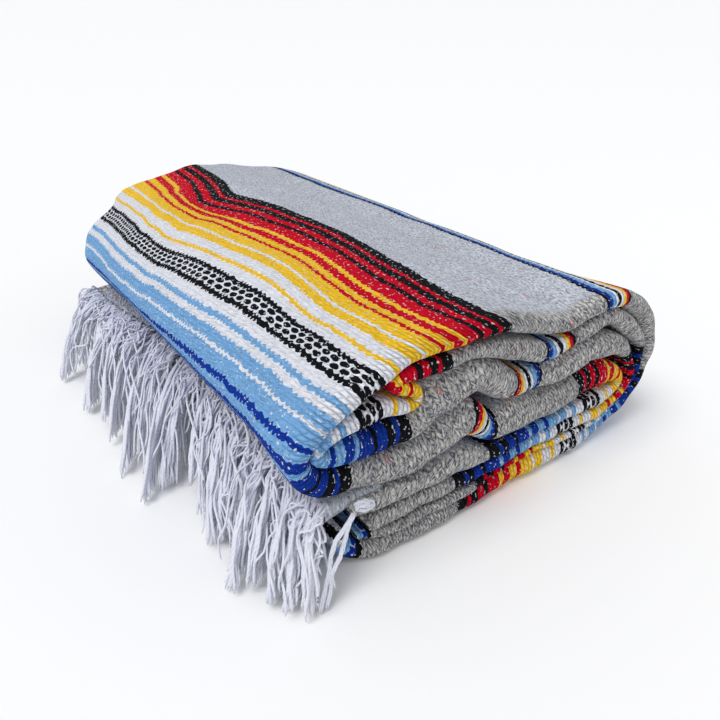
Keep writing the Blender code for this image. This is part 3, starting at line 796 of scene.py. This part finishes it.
def stripedCloth():
    board = Board("stripedCloth")
    u, v = board.mapped("cloth")
    pick, post = weave["pick"], weave["post"]
    # 1 on the turned near edge, 0 on the flat
    nose = board.held(1.0 - (abs(v + 0.002) - weave["noseReach"]) / weave["noseFade"])
    # the picks wander a little, and each stitch swells past its neighbours
    wander = (board.noise(v * 160.0, u * 90.0, 2.0) - 0.5) * 0.0016
    lay = u + wander
    row = (lay / pick).math("FLOOR")
    odd = row.math("MODULO", 2.0)
    slant = (lay / pick).math("FRACT") * 0.30
    along = v / post + odd * 0.5 + slant + (board.noise(v * 70.0, u * 70.0) - 0.5) * 0.9
    stitch = along.math("FLOOR")
    # the stripes drift, fray and scallop
    drift = (board.noise(v * 34.0, u * 12.0, 1.0) - 0.5) * 0.0034
    fray = (board.noise(v * 420.0, u * 420.0, 1.0) - 0.5) * 0.0011
    scallop = abs((v * (math.pi / post) + board.noise(v * 70.0, u * 60.0, 0.0) * 8.0).math("SINE"))
    moved = u + drift + fray + scallop * (0.00150 - nose * 0.00090)
    place = (moved / unit + 4 * period).math("MODULO", period)
    warm = board.bands((place - coolWidth) / warmWidth, warmStripes)
    cool = board.bands(place / coolWidth, coolStripes)
    thin = board.bands((place - thinStart) / thinWidth, thinStripes)
    # grey heather: light and dark fibres, cool on the flat, warmer and coarser on the turned edges,
    # where the darker, more contrasting mix is partly painted shade between the stitches
    streak = board.noise(u * 800.0, v * 420.0, 3.0, 0.7)
    way = odd * 2.0 - 1.0
    coarse = board.noise((u + way * v * 0.55) * 980.0, v * 290.0 + row * 3.7, 2.0, 0.6)
    speck = board.chance(row, stitch)
    flat = board.mix(board.held((streak - 0.5) * 3.4 + 0.70 + (speck - 0.5) * 0.25),
                     weave["flatDark"], weave["flatLight"])
    edgeGreyAndShade = board.mix(board.held((coarse - 0.5) * 3.7 + 0.54 + (speck - 0.5) * 0.3),
                         weave["noseDarkAndShade"], weave["noseLight"])
    grey = board.mix(nose, flat, edgeGreyAndShade)
    pale = (board.noise(u * 520.0 + 40.0, v * 240.0, 1.0) > 0.675) * (0.35 + nose * 0.35)
    grey = board.mix(pale, grey, weave["paleFibre"])
    rare = (board.chance(row + 7.0, stitch + 3.0) > 0.994) * (streak > 0.52)
    grey = board.mix(rare * 0.55, grey, dyes["red"])
    # the wide and thin bands over it
    inWide = place < (coolWidth + warmWidth)
    inThin = (place > thinStart) * (place < (thinStart + thinWidth))
    colour = board.mix(inWide, grey, board.mix(place < coolWidth, warm, cool))
    colour = board.mix(inThin, colour, thin)
    # the check, whose dashes fray less than its edges
    middle = place - coolWidth
    edge = (abs(middle) > check["edgeFrom"]) * (abs(middle) < check["edgeTo"])
    beat = v / (check["dashBeat"] * unit) + board.noise(v * 30.0, u * 3.0) * 1.2
    calm = u + drift * 0.9 + scallop * 0.0004 + 0.0006
    calm = (calm / unit + 4 * period).math("MODULO", period) - coolWidth
    reach = ((beat + (calm > 0.0) * check["dashShift"]).math("FRACT") - 0.5) / check["dashLong"]
    rise = (abs(calm) - check["dashRow"]) / check["dashHigh"]
    dash = (reach * reach + rise * rise) < 1.0
    colour = board.mix((edge + dash).math("MINIMUM", 1.0), colour, dyes["black"])
    # white flecks caught in the bands
    fleck = board.noise(u * 560.0 + 9.0, v * 430.0, 1.0) > (0.715 - nose * 0.01)
    anyBand = (inWide + inThin).math("MINIMUM", 1.0)
    colour = board.mix(fleck * anyBand * 0.85, colour, weave["fleck"])
    # relief: rounded picks, each stitch a small swelling, and fibres, plainest on the turned edges
    across = ((lay / pick).math("FRACT") * math.pi).math("SINE").math("POWER", 0.6)
    swell = abs((along * math.pi).math("SINE")).math("POWER", 0.6)
    fibre = board.noise(u * 1100.0, v * 520.0, 3.0, 0.7)
    thread = board.noise((u + v * 0.22) * 880.0, v * 170.0 + row * 5.3, 1.0, 0.5)
    picks = across * (0.25 + swell * 0.75) * (0.28 + nose * 0.72)
    relief = picks + thread * (1.15 - nose * 0.75) + fibre * 0.35
    # painted shade: darker where the relief is low, in the hollows between picks and stitches, with a
    # random tone over it
    paintedShadeAndTone = 0.62 + relief * 0.33 + (board.noise(u * 60.0, v * 60.0, 2.0) - 0.5) * 0.12
    colour = board.paintShade(colour, paintedShadeAndTone.math("MINIMUM", 1.05))
    board.finish(colour, relief, weave)
    board.feed(board.shader.inputs["Sheen Weight"], 0.015)
    board.feed(board.shader.inputs["Sheen Roughness"], 0.4)
    board.feed(board.shader.inputs["Specular IOR Level"], 0.04)
    return board.material


# the hidden layers' grey: darker than the cloth's own, painted shade for the deep gaps between the layers
paintedShadeGreys = {
    "dark": (0.130, 0.135, 0.155, 1), "light": (0.420, 0.430, 0.460, 1),
    "bump": 0.6, "relief": 0.001, "roughness": 0.95,
}


def shadedHiddenCloth():
    board = Board("shadedHiddenCloth")
    x, y, z = board.parts(board.node("ShaderNodeTexCoord", {}, {}, "Object"))
    streak = board.noise((x + z) * 800.0, y * 200.0, 3.0, 0.6)
    board.finish(board.mix(streak, paintedShadeGreys["dark"], paintedShadeGreys["light"]), streak, paintedShadeGreys)
    return board.material


yarnLook = {
    "dark": (0.740, 0.760, 0.880, 1), "light": (0.880, 0.885, 0.950, 1), "twist": 0.0030,
    "bump": 0.6, "relief": 0.0003, "roughness": 0.85,
}


def fringeYarn():
    board = Board("fringeYarn")
    u, v = board.mapped("yarn")
    twist = (v / yarnLook["twist"] + u * 2.0).math("FRACT")
    ply = (twist * math.pi).math("SINE").math("POWER", 0.6)
    fibre = board.noise(u * 16.0, v * 900.0, 3.0, 0.6)
    tone = board.noise(v * 60.0, u * 0.5, 2.0)
    # painted shade: each yarn is darkened a little in the grooves between its plies
    colour = board.paintShade(board.mix(tone, yarnLook["dark"], yarnLook["light"]), 0.90 + ply * 0.10)
    board.finish(colour, ply + fibre * 0.4, yarnLook)
    board.feed(board.shader.inputs["Sheen Weight"], 0.15)
    board.feed(board.shader.inputs["Specular IOR Level"], 0.2)
    return board.material


striped, hidden, yarn = stripedCloth(), shadedHiddenCloth(), fringeYarn()
for piece, material, slotName in (
    (outerCloth, striped, "striped_cloth"), (innerCloth, striped, "striped_cloth"),
    (farCloth, striped, "striped_cloth"), (fringedEnd, striped, "striped_cloth"),
    (innerLayers, hidden, "hidden_cloth"), (fringeNear, yarn, "fringe_yarn"),
    (fringeFar, yarn, "fringe_yarn"), (cornerTassel, yarn, "fringe_yarn"),
):
    piece.data.materials.clear()
    piece.data.materials.append(material)
    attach(piece, "root")
print("materials given")

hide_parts("underside_stretch", "right_fold", "top_stretch", "left_fold", "fourth_edge",
            "fifth_edge")
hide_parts("seventh_edge", "second_edge", "tucked_curl", "third_edge", "inner_right_fold",
            "sixth_edge")
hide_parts("far_upper_fold", "far_middle_fold", "far_lower_fold", "far_bottom_fold")
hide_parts("fringed_end")
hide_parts("hidden_layers")
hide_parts("fringe")
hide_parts("fringe")
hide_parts("corner_tassel")
# floor, light and camera: sizes and places in metres, angles in degrees
studio = {
    "floorSize": 2000, "floorPaint": (0.98, 0.98, 0.98, 1),
    "sky": (0.97, 0.98, 1.0, 1), "skyStrength": 0.60,
    "sun": 1.52, "sunAngle": 35, "sunWay": (0.55, 0.05, -1.0),
    "fill": 1.0, "fillSize": 1.2, "fillPlace": (0.9, -1.3, 0.8), "fillWay": (-0.9, 1.3, -0.75),
    "cameraPlace": (-0.2137, -0.3960, 0.2596), "cameraTilt": 60.4, "cameraTurn": -35.5, "lens": 31.75,
}
bpy.ops.object.select_all(action="DESELECT")
bpy.ops.mesh.primitive_plane_add(size=studio["floorSize"], location=(0, 0, -0.0004))
floor = bpy.context.object
floor.name = "floor"
floorBoard = Board("floorPaint")
floorBoard.feed(floorBoard.shader.inputs["Base Color"], studio["floorPaint"])
floorBoard.feed(floorBoard.shader.inputs["Roughness"], 0.9)
floor.data.materials.append(floorBoard.material)

world = bpy.context.scene.world or bpy.data.worlds.new("studio")
bpy.context.scene.world = world
world.use_nodes = True
world.node_tree.nodes["Background"].inputs[0].default_value = studio["sky"]
world.node_tree.nodes["Background"].inputs[1].default_value = studio["skyStrength"]
bpy.context.scene.view_settings.view_transform = "Standard"

bpy.ops.object.light_add(type="SUN", location=(-1, 0.3, 2))
keyLight = bpy.context.object
keyLight.name = "keyLight"
keyLight.data.energy = studio["sun"]
keyLight.data.angle = math.radians(studio["sunAngle"])
keyLight.rotation_euler = Vector(studio["sunWay"]).to_track_quat("-Z", "Y").to_euler()
bpy.ops.object.light_add(type="AREA", location=studio["fillPlace"])
fillLight = bpy.context.object
fillLight.name = "fillLight"
fillLight.data.size = studio["fillSize"]
fillLight.data.energy = studio["fill"]
fillLight.rotation_euler = Vector(studio["fillWay"]).to_track_quat("-Z", "Y").to_euler()

bpy.ops.object.camera_add(location=studio["cameraPlace"])
camera = bpy.context.object
camera.rotation_euler = (math.radians(studio["cameraTilt"]), 0, math.radians(studio["cameraTurn"]))
camera.data.lens = studio["lens"]
camera.data.sensor_width = 36
camera.data.clip_start = 0.01
bpy.context.scene.camera = camera
print("studio set")
